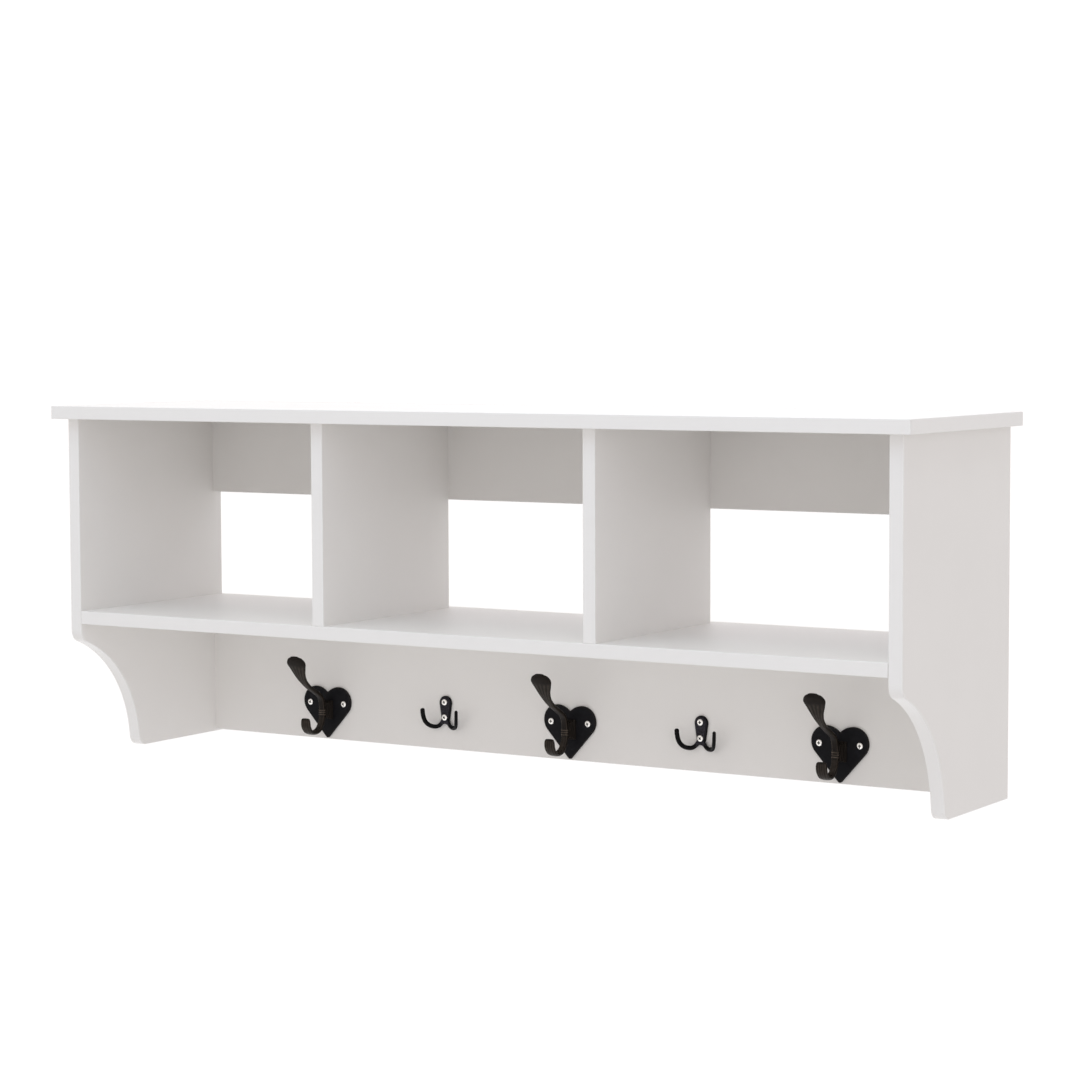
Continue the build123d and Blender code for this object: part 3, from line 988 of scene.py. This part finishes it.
def prong_mesh(points, radius, sides=28, cap=6):
    """A prong along points, oval and taller towards its tip, with a dome on each end."""
    rings = []
    last = len(points) - 1
    order = [(0, 1 - k / cap, -1) for k in range(cap)]
    order += [(k, 0.0, 0) for k in range(last + 1)]
    order += [(last, (k + 1) / cap, 1) for k in range(cap)]
    turn = [2 * pi * k / sides for k in range(sides)]
    for index, over, end in order:
        along = (points[min(index + 1, last)] - points[max(index - 1, 0)]).normalized()
        across = Vector((-along.y, along.x, 0)).normalized()
        up = along.cross(across)
        over = min(over, 0.995)
        shrink = sqrt(1 - over**2)
        wide = radius * shrink * between(PRONG_ACROSS, index / last)
        tall = radius * shrink * between(PRONG_TALL, index / last)
        centre = points[index] + along * end * over * radius
        rings.append([centre + wide * cos(a) * across + tall * sin(a) * up for a in turn])
    return skin(rings, "prong")


def between(ends, share):
    """A value part of the way from the first of two to the second."""
    return ends[0] + (ends[1] - ends[0]) * share


def screw_mesh(radius, height, sides=48):
    """A pan-head wood screw along +Z, its head's underside at the origin."""
    high = height / MM
    wide = radius / MM
    profile = [
        (0.0, POINT_END),
        (0.5, POINT_END + 0.8),
        (SHANK_RADIUS, POINT_START),
        (SHANK_RADIUS, 0.0),
        (wide, 0.0),
    ]
    # The head's wall stands a third of its height, and then rounds over to a small flat.
    for k in range(9):
        a = pi / 2 * k / 8
        profile.append((wide - 0.45 * wide * (1 - cos(a)), high * (0.32 + 0.68 * sin(a))))
    profile.append((0.0, high))
    turn = [2 * pi * k / sides for k in range(sides)]
    rings = []
    for out, up in profile:
        out = max(out, 0.01)
        rings.append([MM * Vector((out * cos(a), out * sin(a), up)) for a in turn])
    return skin(rings, "screw")


def mark_recess_shade(mesh, height):
    """Mark with 1 the points inside the cross, where the finish paints shade."""
    layer = mesh.attributes.new("recess", "FLOAT", "POINT")
    for point, mark in zip(mesh.vertices, layer.data):
        out = hypot(point.co.x, point.co.y)
        within = out < RECESS_REACH * MM and 0.1 * MM < point.co.z < 0.62 * height
        mark.value = 1.0 if within else 0.0


def recess_parts(height):
    """The two tapered bars of the cross that is pressed into a screw's head."""
    span, slot, sink = CROSS
    parts = []
    for along, across in ((span, slot), (slot, span)):
        rings = []
        for up, grow in ((height / MM - sink, 0.45), (height / MM + 0.5, 1.0)):
            x = along / 2 * (grow if along > across else 1)
            y = across / 2 * (grow if across > along else 1)
            corners = ((x, y), (-x, y), (-x, -y), (x, -y))
            rings.append([MM * Vector((cx, cy, up)) for cx, cy in corners])
        parts.append(skin(rings, "recess"))
    return parts


def screw_tree():
    """Geometry Nodes that put a screw on each point, each turned its own way."""
    tree = bpy.data.node_groups.new("hook_screws", "GeometryNodeTree")
    sockets = tree.interface
    sockets.new_socket("Geometry", in_out="INPUT", socket_type="NodeSocketGeometry")
    for name, kind in (("Screw", "Object"), ("Finish", "Material"), ("Seed", "Int")):
        sockets.new_socket(name, in_out="INPUT", socket_type=f"NodeSocket{kind}")
    sockets.new_socket("Geometry", in_out="OUTPUT", socket_type="NodeSocketGeometry")
    given = node(tree, "NodeGroupInput").outputs
    screw = node(tree, "GeometryNodeObjectInfo", Object=given["Screw"]).outputs["Geometry"]
    # Inputs 2 and 3 are the least and the most turn: a cross looks the same each quarter turn.
    quarter = {"data_type": "FLOAT", 2: 0.0, 3: pi / 2}
    spin = node(tree, "FunctionNodeRandomValue", quarter, Seed=given["Seed"])
    # The screw is made along +Z; its head faces away from the wall, along -Y.
    placed = node(
        tree,
        "GeometryNodeInstanceOnPoints",
        {"Rotation": (pi / 2, 0, 0)},
        Points=given["Geometry"],
        Instance=screw,
    )
    axis = node(tree, "ShaderNodeCombineXYZ", Z=spin.outputs[1])
    turned = node(
        tree,
        "GeometryNodeRotateInstances",
        {"Local Space": True},
        Instances=placed.outputs[0],
        Rotation=axis.outputs[0],
    )
    solid = node(tree, "GeometryNodeRealizeInstances", Geometry=turned.outputs[0])
    coated = node(
        tree,
        "GeometryNodeSetMaterial",
        Geometry=solid.outputs[0],
        Material=given["Finish"],
    )
    node(tree, "NodeGroupOutput", Geometry=coated.outputs[0])
    return tree


def placed_screws(name, spots, screw, finish, seed):
    """One plain mesh object of screws at the given points."""
    mesh = bpy.data.meshes.new(name)
    mesh.from_pydata(spots, [], [])
    piece = add_object(name, mesh)
    tree = screw_tree()
    added = piece.modifiers.new("screws", "NODES")
    added.node_group = tree
    values = {"Screw": screw, "Finish": finish, "Seed": seed}
    for item in tree.interface.items_tree:
        if item.in_out == "INPUT" and item.name in values:
            added[item.identifier] = values[item.name]
    baked(piece, [])
    piece.data.shade_smooth()
    piece.data.set_sharp_from_angle(angle=radians(35))
    bpy.data.node_groups.remove(tree)
    return piece


def middle_x(name):
    """The X halfway across a node."""
    low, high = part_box(name)
    return (low.x + high.x) / 2


def rail_face():
    """The Y of the lower rail's front face."""
    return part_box("lower_hook_rail")[0].y


# ---------------------------------------------------------------- studio


def as_seen(tree, hidden, seen):
    """A strength that is one value as a light and another where it is seen or reflected."""
    ray = node(tree, "ShaderNodeLightPath").outputs
    sight = {"operation": "MAXIMUM"}
    either = node(tree, "ShaderNodeMath", sight, i0=ray["Is Camera Ray"], i1=ray["Is Glossy Ray"])
    return spread(tree, either.outputs[0], 0.0, 1.0, hidden, seen)


def lay_floor(level, reach=30.0):
    """A plain matt white floor, lit up for the camera only and clear from underneath."""
    mesh = bpy.data.meshes.new("floor")
    corners = ((-reach, -reach), (reach, -reach), (reach, reach), (-reach, reach))
    mesh.from_pydata([(x, y, level) for x, y in corners], [], [(0, 1, 2, 3)])
    material, tree, _ = new_material("matt_white_floor")
    shader = node(
        tree,
        "ShaderNodeBsdfPrincipled",
        {
            "Base Color": rgba(linear("#F6F6F5")),
            "Roughness": 0.9,
            "Specular IOR Level": 0.0,
            "Emission Color": WHITE,
        },
        Emission_Strength=as_seen(tree, 0.0, 0.45),
    )
    clear = node(tree, "ShaderNodeBsdfTransparent")
    under = node(tree, "ShaderNodeNewGeometry").outputs["Backfacing"]
    top = shader.outputs[0]
    sided = node(tree, "ShaderNodeMixShader", Fac=under, i1=top, i2=clear.outputs[0])
    finish_material(tree, sided)
    mesh.materials.append(material)
    add_object("floor", mesh)


def surround(scene, ambient):
    """A white room all round, dimmer as a light than where the camera sees it."""
    world = bpy.data.worlds.new("white_studio")
    world.use_nodes = True
    tree = world.node_tree
    tree.nodes.clear()
    colour = {"Color": rgba(linear(SKY_COLOUR))}
    sky = node(tree, "ShaderNodeBackground", colour, Strength=as_seen(tree, ambient, 1.1))
    node(tree, "ShaderNodeOutputWorld", Surface=sky.outputs[0])
    scene.world = world


def soft_light(name, spot, aim, size, watts, colour):
    """A rectangular softbox that points at a spot near the rack."""
    data = bpy.data.lights.new(name, "AREA")
    data.shape = "RECTANGLE"
    data.size, data.size_y = size
    data.energy = watts
    data.color = linear(colour)
    lamp = bpy.data.objects.new(name, data)
    bpy.context.scene.collection.objects.link(lamp)
    lamp.location = spot
    lamp.rotation_euler = (Vector(aim) - Vector(spot)).to_track_quat("-Z", "Y").to_euler()


def studio_camera(studio):
    """The camera, looking down a little from the rack's right."""
    data = bpy.data.cameras.new("camera")
    data.sensor_width = 36.0
    data.lens = studio.lens
    data.clip_end = 100.0
    camera = bpy.data.objects.new("camera", data)
    bpy.context.scene.collection.objects.link(camera)
    aim = Matrix.Rotation(studio.yaw, 4, "Z") @ Matrix.Rotation(pi / 2 - studio.pitch, 4, "X")
    aim = aim @ Matrix.Rotation(studio.roll, 4, "Z")
    camera.matrix_world = Matrix.Translation(CAMERA_SPOT) @ aim
    return camera


# ---------------------------------------------------------------- operators


class HOOKRACK_OT_boards(bpy.types.Operator):
    """Finish the boards and their edging strips"""

    bl_idname = "hookrack.boards"
    bl_label = "Boards and edging"

    def execute(self, context):
        colours = context.scene.hookrack_colours
        faced = melamine_material(colours, "satin_white_melamine", False)
        cut = melamine_material(colours, "satin_white_melamine_cut_back", True)
        rails = [name for name in BOARDS if name.endswith("rail")]
        paint(rails, faced)
        paint([name for name in BOARDS if name not in rails], cut)
        paint(STRIPS, edging_material(colours))
        return {"FINISHED"}


class HOOKRACK_OT_fittings(bpy.types.Operator):
    """Finish the hangers, case screws, cams, bolts and dowels"""

    bl_idname = "hookrack.fittings"
    bl_label = "Fittings"

    def execute(self, context):
        colours = context.scene.hookrack_colours
        paint(PLATED, zinc_material(colours, "bright_zinc_plate", 0.28))
        paint(("cam_locks",), zinc_material(colours, "die_cast_zinc", 0.42))
        paint(("wood_dowels",), beech_material(colours))
        return {"FINISHED"}


class HOOKRACK_OT_heart_plates(bpy.types.Operator):
    """Make the three heart plates"""

    bl_idname = "hookrack.heart_plates"
    bl_label = "Heart plates"

    def execute(self, context):
        sizes = context.scene.hookrack_sizes
        coat = powder_coat_material(context.scene.hookrack_colours)
        for name in HEARTS:
            node_name = f"{name}_heart_plate"
            low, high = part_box(node_name)
            spot = Vector((middle_x(node_name), high.y, low.z))
            thick = (high.y - low.y) / MM
            mesh = heart_plate_mesh(spot, thick, sizes.plate_bevel / MM)
            plate = add_object(f"{name}_heart_plate_finished", mesh)
            for side in SIDES:
                drilled(plate, spot + MM * Vector((side * SCREW_SPREAD, 1, SCREW_RISE)), 6)
            dressed(plate, coat, 50)
            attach(plate, "root")
            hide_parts(node_name)
        return {"FINISHED"}


class HOOKRACK_OT_heart_arms(bpy.types.Operator):
    """Cast the three arms with their stepped bosses"""

    bl_idname = "hookrack.heart_arms"
    bl_label = "Heart hook arms"

    def execute(self, context):
        sizes = context.scene.hookrack_sizes
        skin_finish = casting_material(context.scene.hookrack_colours)
        for name in HEARTS:
            plate = f"{name}_heart_plate"
            low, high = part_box(plate)
            foot = Vector((middle_x(plate), high.y, low.z))
            mesh = arm_mesh(foot, sizes.flutes, sizes.bead_height)
            arm = add_object(f"{name}_heart_arm_finished", mesh)
            boss = boss_mesh(Vector((foot.x, low.y, foot.z + BOSS_RISE * MM)))
            combined(arm, add_object("boss", boss), "UNION")
            dressed(arm, skin_finish, 38)
            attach(arm, "root")
            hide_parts(f"{name}_heart_arm")
        return {"FINISHED"}


class HOOKRACK_OT_double_hooks(bpy.types.Operator):
    """Cast the two double hooks"""

    bl_idname = "hookrack.double_hooks"
    bl_label = "Double hooks"

    def execute(self, context):
        sizes = context.scene.hookrack_sizes
        lacquer = lacquer_material(context.scene.hookrack_colours)
        face = rail_face()
        for name in DOUBLES:
            node_name = f"{name}_double_hook"
            top = Vector((middle_x(node_name), face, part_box(node_name)[1].z))
            shells = [double_plate_mesh(top, DOUBLE_PLATE, sizes.rim_width / MM)]
            for side in SIDES:
                route = [top + MM * Vector((side * x, -out, -drop)) for x, out, drop in PRONG_ROUTE]
                shells.append(prong_mesh(rounded_curve(route, 14), sizes.prong_radius))
            arch = [top + MM * Vector((x, -out, -drop)) for x, out, drop in WEB_ROUTE]
            shells.append(prong_mesh(rounded_curve(arch, 12), sizes.prong_radius))
            hook = add_object(f"{name}_double_hook_finished", joined("double_hook", *shells))
            fused = {"mode": "VOXEL", "voxel_size": sizes.casting_grid, "adaptivity": 0.0}
            baked(hook, [("REMESH", fused), ("SMOOTH", {"factor": 0.5, "iterations": 4})])
            # The back is cut flat against the rail, and the screw holes are drilled.
            combined(hook, add_object("behind", block_behind(top)), "DIFFERENCE")
            for drop in SCREW_DROPS:
                drilled(hook, top + MM * Vector((0, 1, -drop)), 8)
            # Mark the forward-facing flat and bevel for the lacquer's painted reflection
            mark_front_sheen(hook.data, top.y - DOUBLE_PLATE * MM)
            dressed(hook, lacquer, 60)
            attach(hook, "root")
            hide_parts(node_name)
        return {"FINISHED"}


class HOOKRACK_OT_hook_screws(bpy.types.Operator):
    """Put the pan-head screws in the hooks"""

    bl_idname = "hookrack.hook_screws"
    bl_label = "Hook screws"

    def execute(self, context):
        sizes = context.scene.hookrack_sizes
        nickel = nickel_material(context.scene.hookrack_colours)
        screw = add_object("screw_pattern", screw_mesh(sizes.head_radius, sizes.head_height))
        for part in recess_parts(sizes.head_height):
            combined(screw, add_object("recess", part), "DIFFERENCE")
        # The cross's points get painted shade in the nickel finish
        mark_recess_shade(screw.data, sizes.head_height)
        heart_spots = []
        for name in HEARTS:
            low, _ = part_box(f"{name}_heart_plate")
            x = middle_x(f"{name}_heart_plate")
            for side in SIDES:
                heart_spots.append((x + side * SCREW_SPREAD * MM, low.y, low.z + SCREW_RISE * MM))
        double_spots = []
        front = rail_face() - DOUBLE_PLATE * MM
        for name in DOUBLES:
            x = middle_x(f"{name}_double_hook")
            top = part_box(f"{name}_double_hook")[1].z
            for drop in SCREW_DROPS:
                double_spots.append((x, front, top - drop * MM))
        for node_name, spots, seed in (
            ("heart_hook_screws", heart_spots, sizes.screw_seed),
            ("double_hook_screws", double_spots, sizes.screw_seed + 1),
        ):
            screws = placed_screws(f"{node_name}_finished", spots, screw, nickel, seed)
            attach(screws, "root")
            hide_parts(node_name)
        bpy.data.objects.remove(screw)
        return {"FINISHED"}


class HOOKRACK_OT_stage(bpy.types.Operator):
    """Set up the floor, the surroundings, the lights and the camera"""

    bl_idname = "hookrack.stage"
    bl_label = "Studio"

    def execute(self, context):
        scene = context.scene
        studio = scene.hookrack_studio
        lay_floor(-studio.hanging_height)
        surround(scene, studio.ambient)
        for settings in SOFT_LIGHTS:
            soft_light(*settings)
        scene.camera = studio_camera(studio)
        scene.view_settings.view_transform = "Standard"
        return {"FINISHED"}


class HOOKRACK_PT_rack(bpy.types.Panel):
    """Builds the rack and shows its settings."""

    bl_idname = "HOOKRACK_PT_rack"
    bl_label = "Wall Hook Rack"
    bl_space_type = "VIEW_3D"
    bl_region_type = "UI"
    bl_category = "Hook Rack"

    def draw(self, context):
        layout = self.layout
        for operator in OPERATORS:
            layout.operator(operator.bl_idname)
        for holder in ("hookrack_sizes", "hookrack_colours", "hookrack_studio"):
            group = getattr(context.scene, holder)
            column = layout.column(align=True)
            for name in group.__annotations__:
                column.prop(group, name)


OPERATORS = (
    HOOKRACK_OT_boards,
    HOOKRACK_OT_fittings,
    HOOKRACK_OT_heart_plates,
    HOOKRACK_OT_heart_arms,
    HOOKRACK_OT_double_hooks,
    HOOKRACK_OT_hook_screws,
    HOOKRACK_OT_stage,
)
GROUPS = (HOOKRACK_PG_sizes, HOOKRACK_PG_colours, HOOKRACK_PG_studio)


def register():
    """Add the classes and the settings they read."""
    for item in (*GROUPS, *OPERATORS, HOOKRACK_PT_rack):
        bpy.utils.register_class(item)
    bpy.types.Scene.hookrack_sizes = PointerProperty(type=HOOKRACK_PG_sizes)
    bpy.types.Scene.hookrack_colours = PointerProperty(type=HOOKRACK_PG_colours)
    bpy.types.Scene.hookrack_studio = PointerProperty(type=HOOKRACK_PG_studio)


def unregister():
    """Remove what register added."""
    for name in ("hookrack_sizes", "hookrack_colours", "hookrack_studio"):
        delattr(bpy.types.Scene, name)
    for item in reversed((*GROUPS, *OPERATORS, HOOKRACK_PT_rack)):
        bpy.utils.unregister_class(item)


def main():
    """Build everything in order."""
    register()
    bpy.ops.hookrack.boards()
    bpy.ops.hookrack.fittings()
    bpy.ops.hookrack.heart_plates()
    bpy.ops.hookrack.heart_arms()
    bpy.ops.hookrack.double_hooks()
    bpy.ops.hookrack.hook_screws()
    bpy.ops.hookrack.stage()


if __name__ == "__main__":
    main()
